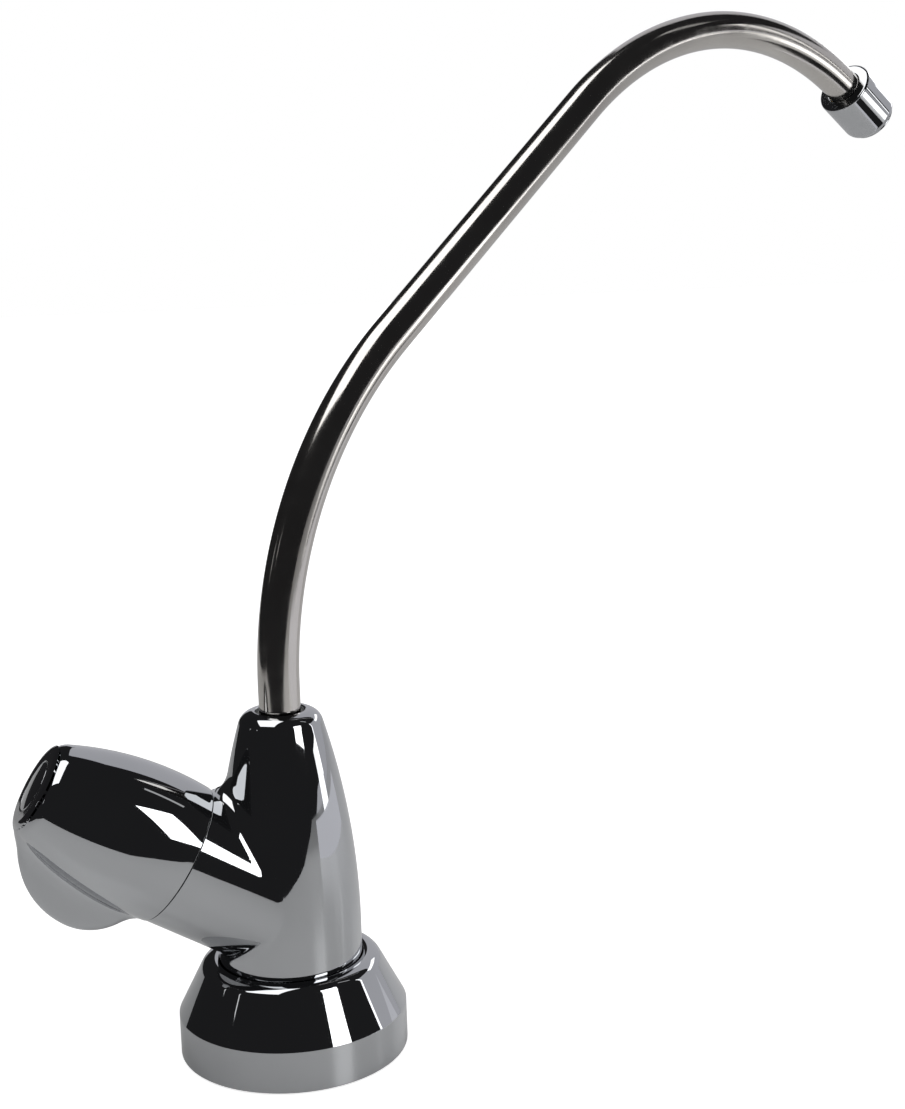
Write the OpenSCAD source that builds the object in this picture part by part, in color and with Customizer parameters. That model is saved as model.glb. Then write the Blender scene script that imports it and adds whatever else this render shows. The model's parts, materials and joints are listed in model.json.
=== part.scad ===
// Drinking water filter tap with a swivelling gooseneck spout and a quarter-turn side knob.
// The origin is on the worktop, on the vertical axis of the tap. +Z is up, the valve branch leans
// towards -X, and the spout at rest points towards +X, turned a little towards +Y.

/* [Base] */
// Outer radius of the base band
base_r = 26.5; // [24:0.5:34]
// Height of the band's top edge above the worktop
band_top_z = 10; // [9:0.5:13]
// Radius where the cone above the band runs into the rounded lip
cone_top_r = 21.05; // [20:0.05:24]
// Height of that place above the worktop
cone_top_z = 20.5; // [18:0.05:23]
// Radius of the rounding of the lip
lip_section_r = 3.5; // [2:0.05:4]
// Height of the base rim above the worktop
rim_lift = 0.4; // [0.2:0.1:1]
// Height of the ledge that carries the body, above the worktop
ledge_top_z = 12; // [11:0.5:15]
// Thickness of that ledge
ledge_t = 3.5; // [2:0.5:4]
// Thickness of the wall round the hollow underside
base_wall = 3; // [2:0.25:5]
// Thickness of the rubber gasket under the base
gasket_t = 2; // [1.2:0.2:3]
// Width of the gasket ring
gasket_w = 4.2; // [3:0.2:6]

/* [Body] */
// Radius of the body's foot
foot_r = 16.6; // [15.5:0.1:18]
// Height where the neck starts to narrow
neck_start_z = 30; // [26:0.5:34]
// Radius of the arc that narrows the neck
neck_arc_r = 171; // [150:1:240]
// Height of the top of the neck
neck_top_z = 81; // [76:0.5:84]
// Rounding of the neck's top edge
neck_edge_r = 3.8; // [1:0.1:4]
// Radius of the spigot that centres the base cover
spigot_r = 12; // [9:0.5:14]
// Height of the bottom of the spigot above the worktop
spigot_z = 4; // [3:0.5:7]

/* [Valve branch] */
// Angle of the branch above the horizontal
branch_tilt = 33; // [28:0.5:38]
// Height where the branch axis crosses the vertical axis
branch_z = 33.6; // [33:0.2:36]
// Length from that crossing to the branch's mouth
branch_len = 30.35; // [30:0.05:34]
// Radius of the branch at the crossing
branch_root_r = 15.6; // [15:0.1:16.5]
// Radius of the branch at its mouth
branch_mouth_r = 16.2; // [15.5:0.1:17]
// Radius of the valve chamber
chamber_r = 10.4; // [10:0.1:11]
// Distance of the valve seat from the axis crossing
seat_w = 4; // [3.6:0.1:5]
// Radius of the port in the valve seat
seat_port_r = 3.5; // [2.5:0.25:4]

/* [Water ways] */
// Radius of the passage from the shank to the seat
inlet_r = 3; // [2:0.25:3.5]
// Radius of the passage from the chamber to the spout
outlet_r = 3; // [2:0.25:3.5]

/* [Spout] */
// Outside diameter of the tube
spout_od = 9.525; // [8:0.025:10]
// Wall of the tube
spout_wall = 0.9; // [0.6:0.1:1.4]
// Thinning of the tube's wall on each side, where it is bent
bend_thinning = 0.03; // [0.02:0.01:0.1]
// Height of the start of the lower bend
spout_rise = 86.7; // [84:0.1:140]
// Radius of the lower bend, to the tube's middle
lower_bend_r = 100.9; // [60:0.1:140]
// Angle of the lower bend
lower_bend_angle = 49.7; // [30:0.1:70]
// Length of the straight between the bends
spout_run = 81.8; // [20:0.2:140]
// Radius of the upper bend, to the tube's middle
upper_bend_r = 86.1; // [50:0.1:120]
// Angle of the upper bend
upper_bend_angle = 72.9; // [40:0.1:120]
// Swivel angle of the spout at rest, from +X towards +Y
spout_rest_angle = 21.9; // [-60:0.1:60]
// Gap round the tube at the neck's mouth
neck_gap = 0.94; // [0.9:0.02:1.3]
// Height of the bottom of the spout socket in the neck
socket_z = 52; // [51.5:0.5:54]
// Depth of the plastic bush below the neck's mouth
bush_depth = 2.5; // [1:0.25:4]
// Length of the plastic bush
bush_len = 4.5; // [3:0.25:6]

/* [Spout end] */
// Length of the nose below the end of the tube
nose_len = 13.5; // [13:0.5:15]
// Depth of the tube in its sleeve
tube_in_sleeve = 6; // [4:0.5:7]
// Radius of the water way through the nose
nose_bore_r = 2.7; // [2:0.1:2.9]
// Section radius of the spout's seals
spout_seal_r = 0.9; // [0.7:0.05:1]
// Height of the lower seal above the end of the nose
seal_lift = 2.6; // [1.8:0.1:3]
// Spacing of the seals
seal_pitch = 3.6; // [2.8:0.1:4]
// Height of the snap ring above the end of the nose
snap_lift = 10; // [9.6:0.1:11]
// Thickness of the snap ring
snap_t = 1; // [0.6:0.1:1.2]
// Width of the snap ring
snap_w = 1.2; // [0.9:0.1:1.5]
// Open angle of the snap ring
snap_opening = 40; // [20:5:90]

/* [Aerator] */
// Radius of the outlet housing
aerator_r = 7.75; // [7.4:0.05:9]
// Length of the outlet housing
aerator_len = 15.4; // [14:0.2:22]
// Rounding of the housing's upper edge
aerator_top_edge_r = 0.7; // [0.5:0.1:2]
// Rounding of the housing's lower edge
aerator_low_edge_r = 1.2; // [0.5:0.1:1.6]
// Wall of the housing
aerator_wall = 1.3; // [1:0.1:1.6]
// Thickness of the housing's top
aerator_top_t = 1.8; // [1.5:0.1:2.5]
// Length of the threaded ferrule on the tube's end
ferrule_len = 5; // [4:0.25:6]
// Thickness of the lip that stops the tube in the ferrule
ferrule_stop = 1; // [0.5:0.1:1.5]
// Thickness of the rubber washer
aerator_washer_t = 1.2; // [0.8:0.1:1.6]
// Thickness of the screen
screen_t = 0.7; // [0.4:0.1:1]
// Radius of the screen's holes
screen_hole_r = 0.45; // [0.3:0.05:0.5]
// Radius of the insert's channels
insert_hole_r = 0.8; // [0.5:0.05:0.9]
// Depth of the insert's face in the outlet
insert_recess = 1; // [0.5:0.1:2]

/* [Headwork] */
// Radius of the barrel that holds the discs
barrel_r = 8.9; // [8.7:0.1:9.4]
// Wall of that barrel
barrel_wall = 0.6; // [0.4:0.05:0.8]
// Distance of the headwork's thread from the axis crossing
thread_w = 19.5; // [19:0.1:21]
// Radius of the headwork's flange
flange_r = 12.6; // [12.4:0.1:13.4]
// Thickness of the flange
flange_t = 2.5; // [1.5:0.1:3]
// Thickness of the fibre gasket under the flange
fibre_t = 1; // [0.6:0.1:1.5]
// Width across the flats of the headwork's hexagon
hex_af = 19; // [16:0.5:21]
// Height of that hexagon
hex_h = 4.6; // [3:0.1:5]
// Width of the turned corners on the hexagons
hex_chamfer = 1; // [0.5:0.1:1.5]
// Radius of the headwork's neck
bonnet_r = 7; // [6:0.1:8]
// Height of the neck above the hexagon
bonnet_h = 5; // [3:0.1:5.5]

/* [Valve train] */
// Radius of the valve stem
stem_r = 4; // [3.6:0.1:4.5]
// Thickness of the rubber seat seal
seal_t = 2.4; // [1.8:0.1:2.6]
// Width of the seat seal's ring
seal_w = 1.2; // [0.8:0.1:1.4]
// Thickness of a ceramic disc
disc_t = 3; // [2.4:0.1:3.1]
// Inner radius of the disc ports
port_in_r = 2.4; // [1.8:0.1:3]
// Outer radius of the disc ports
port_out_r = 6.6; // [5.5:0.1:6.8]
// Angle that each disc port spans
port_angle = 78; // [50:1:84]
// Width of the drive bar across the moving disc
bar_w = 4; // [3:0.1:4.4]
// Height of the drive bar
bar_h = 3; // [2.4:0.1:3.1]
// Depth of the drive lugs in the moving disc
lug_depth = 1.2; // [0.8:0.1:1.5]
// Length of each drive lug
lug_len = 2; // [1.4:0.1:2.2]
// Thickness of the stem's collar
collar_t = 1.5; // [1:0.1:1.6]
// Thickness of the thrust washer
thrust_t = 0.8; // [0.5:0.05:0.9]
// Section radius of the stem seals
stem_seal_r = 0.8; // [0.6:0.05:0.9]
// Spacing of the stem seals
stem_seal_pitch = 4; // [3:0.25:6]
// Thickness of the stem clip
clip_t = 0.9; // [0.6:0.1:1]
// Outer radius of the stem clip
clip_r = 5.8; // [5:0.1:6.5]
// Open angle of the stem clip
clip_opening = 70; // [40:5:110]
// Length of the stem's splined end
spline_len = 8.5; // [6:0.25:9]
// Teeth of the spline
spline_teeth = 20; // [12:1:24]
// Depth of a spline tooth
spline_depth = 0.5; // [0.3:0.05:0.7]

/* [Knob] */
// Largest radius of the knob's barrel
knob_r = 16.6; // [16:0.1:18]
// Distance of the largest radius from the branch's mouth
knob_wide_k = 6; // [4:0.25:9]
// Radius of the arc that narrows the barrel
knob_arc_r = 74; // [66:1:110]
// Length of the knob, from the branch's mouth
knob_len = 36; // [34:0.25:40]
// Rounding of the knob's end
knob_edge_r = 2.8; // [1:0.1:3.5]
// Gap between the knob and the branch
knob_gap = 0.25; // [0.2:0.05:0.8]
// Radius of the hollow round the headwork
knob_hollow_r = 13; // [12.6:0.1:13.6]
// Distance of the wing's tip from the knob's axis
wing_reach = 24.6; // [22:0.2:32]
// Distance of the wing's tip from the branch's mouth
wing_peak_k = 14.5; // [14:0.25:17]
// Radius of the wing's outline on the body's side
wing_inner_r = 13; // [10:0.25:13]
// Radius of the wing's outline on the end's side
wing_outer_r = 20; // [14:0.25:20]
// Thickness of the wing
wing_t = 6; // [4:0.25:8]
// Rounding of the wing's rim
wing_edge_r = 1.4; // [0.5:0.1:1.8]
// Radius of the cap in the knob's end
cap_r = 5.85; // [5:0.05:6.5]
// Thickness of the cap at its rim
cap_t = 2.2; // [1.4:0.1:3]
// Height of the cap's dome
cap_dome = 0.4; // [0.2:0.05:0.8]
// Radius of the knob's screw
screw_r = 1.95; // [1.5:0.05:2.2]
// Length of the screw below its head
screw_len = 14; // [11:0.5:15]
// Radius of the screw's head
screw_head_r = 3.6; // [3:0.1:4]
// Height of the screw's head
screw_head_h = 2.6; // [2:0.1:3]
// Length of the cross recess in the screw's head
screw_recess_len = 4; // [3:0.1:5]
// Width of that recess
screw_recess_w = 0.9; // [0.6:0.05:1.2]
// Depth of that recess
screw_recess_depth = 1.3; // [0.8:0.1:1.8]
// Web of the knob under the screw's head
screw_web = 4; // [2.5:0.25:5]

/* [Under the worktop] */
// Thickness of the worktop that the tap is clamped to
deck_t = 20; // [10:1:30]
// Radius of the shank's thread
shank_r = 5.556; // [5:0.004:6]
// Radius of the shank's water way
shank_bore_r = 2.4; // [2:0.1:2.8]
// Radius of the socket for the supply tube, in the shank's lower end
tube_socket_r = 3.2; // [3.1:0.05:3.6]
// Depth of that socket
tube_socket_depth = 12; // [8:1:18]
// Depth of the shank in the body
shank_in_body = 12.5; // [8:0.5:14]
// Thickness of the rubber seal on the shank's top
shank_seal_t = 1.4; // [1:0.1:2]
// Length of shank left free below the nut
shank_free = 25; // [15:1:40]
// Thickness of the rubber washer under the worktop
deck_washer_t = 2.5; // [1.5:0.1:4]
// Radius of the rubber washer
deck_washer_r = 17; // [14:0.5:22]
// Thickness of the plastic washer
backing_t = 3; // [2:0.1:5]
// Radius of the plastic washer
backing_r = 16; // [13:0.5:20]
// Thickness of the toothed lock washer
lock_t = 1.2; // [0.8:0.1:1.6]
// Radius of the lock washer
lock_r = 10; // [8.5:0.25:12]
// Teeth of the lock washer
lock_teeth = 12; // [8:1:16]
// Depth and width of the gaps between the teeth
lock_notch = 1.2; // [0.8:0.1:1.6]
// Width across the flats of the nut
nut_af = 17.5; // [15:0.25:22]
// Height of the nut
nut_h = 6.5; // [4:0.25:10]

/* [Fits] */
// Radial gap of a piece that turns in its bore
running_gap = 0.06; // [0.03:0.01:0.09]
// Radial gap of a thread or a pushed-in piece
thread_gap = 0.1; // [0.05:0.01:0.15]
// Gap between the lapped disc faces and between a seal and its bore
seal_gap = 0.05; // [0.02:0.01:0.1]
// Gap where a loose piece drops over another
loose_gap = 0.3; // [0.2:0.05:0.5]

/* [Hidden] */
$fn = 96;
arc_fn = 480;
bend_fn = 240;
// Overlap that carries a cut through a face
eps = 0.5;
// Push that makes arcs cross each other where they would only touch
touch_lap = 0.002;
// Length of straight tube that runs into each bend
bend_lap = 0.5;
knob_colour = "silver";
chrome = "gainsboro";
brass = "goldenrod";
rubber = "dimgray";
plastic = "whitesmoke";
steel = "lightsteelblue";
ceramic = "ivory";

// Base cover
cone_slope = atan2(base_r - cone_top_r, cone_top_z - band_top_z);
lip_ring_r = cone_top_r - lip_section_r * cos(cone_slope);
lip_z = cone_top_z - lip_section_r * sin(cone_slope);
foot_bore_r = foot_r + loose_gap;
base_hole_r = spigot_r + loose_gap;
gasket_recess_r = base_r - base_wall / 2;
base_hollow_r = base_r - base_wall;
ledge_low_z = ledge_top_z - ledge_t;

// Spout socket and the pieces in it
tube_r = spout_od / 2;
tube_bore_r = tube_r - spout_wall;
neck_bore_r = tube_r + neck_gap;
nose_r = neck_bore_r - running_gap;
nose_z = socket_z + loose_gap;
tube_low_z = nose_z + nose_len;
snap_z = nose_z + snap_lift;
snap_out_r = neck_bore_r + snap_w / 2;
snap_in_r = snap_out_r - snap_w;
spout_seal_ring_r = neck_bore_r - seal_gap - spout_seal_r;
bush_top_z = neck_top_z - bush_depth;

// Outlet, measured along it from the housing's top face
tube_in_ferrule = aerator_top_t + ferrule_len - ferrule_stop;
aerator_bore_r = aerator_r - aerator_wall;
aerator_fill_r = aerator_bore_r - thread_gap;
aerator_washer_u = aerator_top_t + ferrule_len;
screen_u = aerator_washer_u + aerator_washer_t;
insert_u = screen_u + screen_t;
insert_len = aerator_len - insert_recess - insert_u;

// Valve train, measured along the branch from the axis crossing
barrel_bore_r = barrel_r - barrel_wall;
disc_r = barrel_bore_r - thread_gap;
fixed_disc_w = seat_w + seal_t;
drive_disc_w = fixed_disc_w + disc_t + seal_gap;
bar_low_w = drive_disc_w + disc_t + seal_gap;
collar_w = bar_low_w + bar_h;
thrust_w = collar_w + collar_t + seal_gap;
shoulder_w = thrust_w + thrust_t + seal_gap;
fibre_w = branch_len - flange_t - fibre_t;
flange_w = branch_len - flange_t;
bonnet_w = branch_len + hex_h;
bonnet_top_w = bonnet_w + bonnet_h;
clip_w = bonnet_top_w + loose_gap;
spline_w = clip_w + clip_t + loose_gap;
stem_top_w = spline_w + spline_len;
stem_seal_ring_r = stem_r + running_gap - seal_gap - stem_seal_r;
stem_seal_w = (shoulder_w + bonnet_top_w - stem_seal_pitch) / 2;
collar_r = barrel_bore_r - loose_gap;
spline_r = stem_r - thread_gap;

// Knob, measured along the branch from its mouth
hollow_top_k = clip_w + clip_t + loose_gap - branch_len;
stem_top_k = stem_top_w - branch_len;
screw_seat_k = stem_top_k + loose_gap + screw_web;
cap_low_k = knob_len - cap_t;

// Under the worktop
shank_top_z = spigot_z + shank_in_body;
inlet_low_z = shank_top_z + shank_seal_t;
deck_washer_z = -deck_t - deck_washer_t;
backing_z = deck_washer_z - backing_t;
lock_z = backing_z - lock_t;
nut_z = lock_z - nut_h;
shank_low_z = nut_z - shank_free;

// Radius where the rounding of an ogive's top edge meets its flat top
function ogive_flat_r(r, arc_r, rise, edge_r) =
    r - arc_r + sqrt((arc_r - edge_r) ^ 2 - (rise - edge_r) ^ 2);

// Height above the widest point where that rounding meets the arc
function ogive_edge_rise(arc_r, rise, edge_r) = arc_r * (rise - edge_r) / (arc_r - edge_r);

// Half outline of a barrel: an arc with its widest point at wide_z, with a rounded flat top
module ogive_outline(r, arc_r, low_z, wide_z, top_z, edge_r) {
    rise = top_z - wide_z;
    flat_r = ogive_flat_r(r, arc_r, rise, edge_r);
    edge_z = wide_z + ogive_edge_rise(arc_r, rise, edge_r);
    intersection() {
        translate([0, low_z]) square([r, top_z - low_z]);
        union() {
            intersection() {
                translate([0, low_z]) square([r, edge_z - low_z]);
                translate([r - arc_r, wide_z]) circle(arc_r, $fn = arc_fn);
            }
            translate([flat_r + touch_lap, top_z - edge_r + touch_lap]) circle(edge_r);
            translate([0, edge_z - edge_r]) square([flat_r, edge_r + top_z - edge_z + eps]);
        }
    }
}

// Flat ring, standing on its lower face
module ring(out_r, in_r, h) {
    difference() {
        cylinder(h = h, r = out_r);
        translate([0, 0, -eps]) cylinder(h = h + 2 * eps, r = in_r);
    }
}

// Ring of round section, centred on its own plane
module round_ring(ring_r, section_r) {
    rotate_extrude() translate([ring_r, 0]) circle(section_r, $fn = 48);
}

// Ring of rectangular section with an open gap centred on +X
module open_ring(out_r, in_r, h, opening) {
    rotate([0, 0, opening / 2])
        rotate_extrude(angle = 360 - opening)
            translate([in_r, 0]) square([out_r - in_r, h]);
}

// Cutter for a groove round a shaft
module groove_cut(out_r, floor_r, h) {
    ring(out_r + eps, floor_r, h);
}

// Hexagon prism with both ends turned to a cone at the corners
module hexagon(af, h, chamfer) {
    corner_r = af / 2 / cos(30);
    intersection() {
        cylinder(h = h, r = corner_r, $fn = 6);
        rotate_extrude()
            polygon([
                [0, 0], [corner_r - chamfer, 0], [corner_r, chamfer / 2],
                [corner_r, h - chamfer / 2], [corner_r - chamfer, h], [0, h]
            ]);
    }
}

// Places a piece on the branch axis: local +Z runs outwards and local -X points down
module along_branch(w) {
    translate([0, 0, branch_z])
        rotate([0, branch_tilt - 90, 0])
            translate([0, 0, w])
                children();
}

// Places a piece on the knob, measured from the branch's mouth
module along_knob(k) {
    along_branch(branch_len + k) children();
}

// Moves on from the start of a bend to its end
module after_bend(r, angle) {
    translate([r * (1 - cos(angle)), 0, r * sin(angle)]) rotate([0, angle, 0]) children();
}

// Bend of tube that starts upwards and turns towards +X
module tube_bend(r, angle) {
    translate([r, 0, 0])
        rotate([90, 0, 180])
            rotate_extrude(angle = angle, $fn = bend_fn)
                translate([r, 0])
                    difference() {
                        circle(tube_r - bend_thinning);
                        circle(tube_bore_r + bend_thinning);
                    }
}

// Straight tube that starts h_low below its origin and laps over the bends at its ends
module tube_straight(h_low, h_high) {
    translate([0, 0, -h_low]) ring(tube_r, tube_bore_r, h_low + h_high);
}

module in_spout_plane() {
    rotate([0, 0, spout_rest_angle]) children();
}

// Places a piece on the outlet: local +Z runs out of the spout
module at_outlet(u) {
    in_spout_plane()
        translate([0, 0, spout_rise])
            after_bend(lower_bend_r, lower_bend_angle)
                translate([0, 0, spout_run])
                    after_bend(upper_bend_r, upper_bend_angle)
                        translate([0, 0, u])
                            children();
}

// Cast body: ogive neck, inclined branch, centring spigot, and the water ways
module valve_body() {
    color(chrome)
        difference() {
            union() {
                translate([0, 0, ledge_top_z]) cylinder(h = neck_start_z - ledge_top_z, r = foot_r);
                rotate_extrude()
                    ogive_outline(foot_r, neck_arc_r, neck_start_z, neck_start_z, neck_top_z, neck_edge_r);
                translate([0, 0, spigot_z]) cylinder(h = ledge_top_z - spigot_z + eps, r = spigot_r);
                along_branch(0) cylinder(h = branch_len, r1 = branch_root_r, r2 = branch_mouth_r);
            }
            translate([0, 0, socket_z]) cylinder(h = neck_top_z, r = neck_bore_r);
            translate([0, 0, snap_z - loose_gap])
                cylinder(h = snap_t + 2 * loose_gap, r = snap_out_r + loose_gap);
            translate([0, 0, branch_z + chamber_r]) cylinder(h = socket_z - branch_z, r = outlet_r);
            translate([0, 0, inlet_low_z - eps]) cylinder(h = branch_z - inlet_low_z + eps, r = inlet_r);
            translate([0, 0, spigot_z - eps])
                cylinder(h = inlet_low_z - spigot_z + eps, r = shank_r + thread_gap);
            along_branch(-inlet_r) cylinder(h = seat_w + inlet_r + eps, r = seat_port_r);
            along_branch(seat_w) cylinder(h = branch_len, r = chamber_r);
            along_branch(fibre_w) cylinder(h = branch_len, r = flange_r + loose_gap);
        }
}

// Base cover: band, cone and rounded lip outside; gasket recess, hollow and ledge inside
module base_escutcheon() {
    color(chrome)
        rotate_extrude()
            difference() {
                union() {
                    polygon([
                        [0, rim_lift], [base_r, rim_lift], [base_r, band_top_z],
                        [cone_top_r, cone_top_z], [0, cone_top_z]
                    ]);
                    translate([lip_ring_r, lip_z]) circle(lip_section_r + touch_lap);
                }
                square([gasket_recess_r, gasket_t]);
                square([base_hollow_r, ledge_low_z]);
                square([base_hole_r, ledge_top_z]);
                translate([0, ledge_top_z]) square([foot_bore_r, cone_top_z + lip_section_r]);
            }
}

module base_gasket() {
    color(rubber) ring(gasket_recess_r - thread_gap, gasket_recess_r - gasket_w, gasket_t);
}

module spout_bush() {
    color(plastic)
        translate([0, 0, bush_top_z - bush_len])
            ring(neck_bore_r - running_gap / 2, tube_r + running_gap, bush_len);
}

// Brass headwork: barrel with two water windows, thread, flange, hexagon and neck
module cartridge_body() {
    window_w = bar_low_w;
    color(brass)
        difference() {
            union() {
                along_branch(seat_w + loose_gap) cylinder(h = thread_w - seat_w, r = barrel_r);
                along_branch(thread_w) cylinder(h = flange_w - thread_w, r = chamber_r - thread_gap);
                along_branch(flange_w) cylinder(h = flange_t, r = flange_r);
                along_branch(branch_len) hexagon(hex_af, hex_h, hex_chamfer);
                along_branch(bonnet_w) cylinder(h = bonnet_h, r = bonnet_r);
            }
            along_branch(seat_w) cylinder(h = shoulder_w - seat_w, r = barrel_bore_r);
            along_branch(seat_w) cylinder(h = bonnet_top_w, r = stem_r + running_gap);
            along_branch(window_w)
                translate([-port_out_r / 2, -chamber_r, 0]) cube([port_out_r, 2 * chamber_r, bar_h]);
        }
}

module cartridge_gasket() {
    color("saddlebrown")
        along_branch(fibre_w) ring(flange_r, chamber_r + thread_gap, fibre_t);
}

// Ceramic disc with two ports that face each other
module ported_disc() {
    difference() {
        cylinder(h = disc_t, r = disc_r);
        for (side = [0, 180])
            rotate([0, 0, side - port_angle / 2])
                translate([0, 0, -eps])
                    rotate_extrude(angle = port_angle)
                        translate([port_in_r, 0]) square([port_out_r - port_in_r, disc_t + 2 * eps]);
    }
}

// At rest its ports lie across those of the moving disc, so the tap is shut
module fixed_disc() {
    color(ceramic) along_branch(fixed_disc_w) rotate([0, 0, 90]) ported_disc();
}

module drive_disc() {
    color(ceramic)
        along_branch(drive_disc_w)
            difference() {
                ported_disc();
                for (side = [-1, 1])
                    translate([0, side * (collar_r - lug_len / 2), disc_t - lug_depth / 2 + eps / 2])
                        cube([bar_w, lug_len, lug_depth + eps] + 2 * thread_gap * [1, 1, 1], center = true);
            }
}

module seat_seal() {
    color(rubber) along_branch(seat_w) ring(disc_r, disc_r - seal_w, seal_t);
}

module thrust_washer() {
    color(plastic) along_branch(thrust_w) ring(collar_r, stem_r + loose_gap, thrust_t);
}

// Toothed outline of the stem's end and of the knob's socket
module spline_outline(r) {
    step = 360 / spline_teeth;
    polygon([
        for (i = [0 : spline_teeth - 1])
            for (corner = [[0.1, r - spline_depth], [0.35, r], [0.65, r], [0.9, r - spline_depth]])
                corner[1] * [cos((i + corner[0]) * step), sin((i + corner[0]) * step)]
    ]);
}

// Stem: drive bar with two lugs, collar, grooved shaft and splined end with a tapped hole
module valve_stem() {
    color(brass)
        difference() {
            union() {
                along_branch(bar_low_w)
                    translate([-bar_w / 2, -collar_r, 0]) cube([bar_w, 2 * collar_r, bar_h + eps]);
                for (side = [-1, 1])
                    along_branch(bar_low_w)
                        translate([-bar_w / 2, side * (collar_r - lug_len / 2) - lug_len / 2, -lug_depth])
                            cube([bar_w, lug_len, lug_depth + eps]);
                along_branch(collar_w) cylinder(h = collar_t, r = collar_r);
                along_branch(collar_w) cylinder(h = spline_w - collar_w, r = stem_r);
                along_branch(spline_w) linear_extrude(spline_len) spline_outline(spline_r);
            }
            for (i = [0, 1])
                along_branch(stem_seal_w + i * stem_seal_pitch - stem_seal_r - seal_gap)
                    groove_cut(stem_r, stem_seal_ring_r - stem_seal_r, 2 * (stem_seal_r + seal_gap));
            along_branch(clip_w - seal_gap) groove_cut(stem_r, stem_r - clip_t, clip_t + 2 * seal_gap);
            along_knob(screw_seat_k - screw_len - loose_gap)
                cylinder(h = screw_len, r = screw_r + thread_gap);
        }
}

module stem_o_rings() {
    color(rubber)
        for (i = [0, 1])
            along_branch(stem_seal_w + i * stem_seal_pitch) round_ring(stem_seal_ring_r, stem_seal_r);
}

module stem_clip() {
    color(steel) along_branch(clip_w) open_ring(clip_r, stem_r - clip_t + seal_gap, clip_t, clip_opening);
}

// Quarter of a disc with a rounded rim, from +X round to +Y
module rim_quarter(r) {
    rotate_extrude(angle = 90) {
        translate([0, -wing_t / 2]) square([r - wing_edge_r, wing_t]);
        translate([0, wing_edge_r - wing_t / 2]) square([r, wing_t - 2 * wing_edge_r]);
        for (side = [-1, 1])
            translate([r - wing_edge_r, side * (wing_t / 2 - wing_edge_r)]) circle(wing_edge_r);
    }
}

// Thumb wing: two quarter discs that share a level tip
module wing() {
    translate([wing_reach - wing_inner_r, wing_peak_k, 0]) rotate([0, 0, -90]) rim_quarter(wing_inner_r);
    translate([wing_reach - wing_outer_r, wing_peak_k, 0]) rim_quarter(wing_outer_r);
}

// Knob: ogive barrel with a flat wing that hangs down at rest
module handle_knob() {
    color(knob_colour)
        difference() {
            union() {
                along_knob(0)
                    rotate_extrude()
                        ogive_outline(knob_r, knob_arc_r, knob_gap, knob_wide_k, knob_len, knob_edge_r);
                along_knob(0) rotate([90, 0, 180]) wing();
            }
            along_knob(-eps) cylinder(h = hollow_top_k + eps, r = knob_hollow_r);
            along_knob(hollow_top_k - eps)
                linear_extrude(stem_top_k + loose_gap - hollow_top_k + eps) spline_outline(stem_r);
            along_knob(hollow_top_k) cylinder(h = knob_len, r = screw_r + loose_gap);
            along_knob(screw_seat_k) cylinder(h = knob_len, r = screw_head_r + loose_gap);
            along_knob(cap_low_k) cylinder(h = knob_len, r = cap_r + thread_gap);
        }
}

// Cap with a shallow dome
module handle_cap() {
    dome_r = (cap_r ^ 2 + cap_dome ^ 2) / (2 * cap_dome);
    color(knob_colour)
        along_knob(cap_low_k)
            rotate_extrude()
                intersection() {
                    square([cap_r, cap_t + cap_dome]);
                    translate([0, cap_t + cap_dome - dome_r]) circle(dome_r, $fn = arc_fn);
                }
}

// Pan head screw with a cross recess
module handle_screw() {
    recess = [screw_recess_len, screw_recess_w, 2 * screw_recess_depth];
    color(steel)
        difference() {
            union() {
                along_knob(screw_seat_k) cylinder(h = screw_head_h, r = screw_head_r);
                along_knob(screw_seat_k - screw_len) cylinder(h = screw_len + eps, r = screw_r);
            }
            for (turn = [0, 90])
                along_knob(screw_seat_k + screw_head_h)
                    rotate([0, 0, turn]) cube(recess, center = true);
        }
}

// Shank with a through water way, and a socket for the supply tube in its lower end
module threaded_shank() {
    color(brass)
        translate([0, 0, shank_low_z])
            difference() {
                ring(shank_r, shank_bore_r, shank_top_z - shank_low_z);
                translate([0, 0, -eps]) cylinder(h = tube_socket_depth + eps, r = tube_socket_r);
            }
}

module shank_seal() {
    color(rubber)
        translate([0, 0, shank_top_z]) ring(shank_r - thread_gap, shank_bore_r + loose_gap, shank_seal_t);
}

module deck_washer() {
    color(rubber) translate([0, 0, deck_washer_z]) ring(deck_washer_r, shank_r + loose_gap, deck_washer_t);
}

module backing_washer() {
    color(plastic) translate([0, 0, backing_z]) ring(backing_r, shank_r + loose_gap, backing_t);
}

// Lock washer with teeth cut round its edge
module lock_washer() {
    color(steel)
        translate([0, 0, lock_z])
            difference() {
                ring(lock_r, shank_r + loose_gap, lock_t);
                for (i = [0 : lock_teeth - 1])
                    rotate([0, 0, i * 360 / lock_teeth])
                        translate([lock_r - lock_notch, -lock_notch / 2, -eps])
                            cube([lock_notch + eps, lock_notch, lock_t + 2 * eps]);
            }
}

module shank_nut() {
    color(brass)
        translate([0, 0, nut_z])
            difference() {
                hexagon(nut_af, nut_h, hex_chamfer);
                translate([0, 0, -eps]) cylinder(h = nut_h + 2 * eps, r = shank_r + thread_gap);
            }
}

// Gooseneck: a straight riser, a bend, a straight run, a bend and a short straight in the ferrule
module spout_tube() {
    color(steel)
        in_spout_plane()
            translate([0, 0, spout_rise]) {
                tube_straight(spout_rise - tube_low_z, bend_lap);
                tube_bend(lower_bend_r, lower_bend_angle);
                after_bend(lower_bend_r, lower_bend_angle) {
                    tube_straight(bend_lap, spout_run + bend_lap);
                    translate([0, 0, spout_run]) {
                        tube_bend(upper_bend_r, upper_bend_angle);
                        after_bend(upper_bend_r, upper_bend_angle) tube_straight(bend_lap, tube_in_ferrule);
                    }
                }
            }
}

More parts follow.
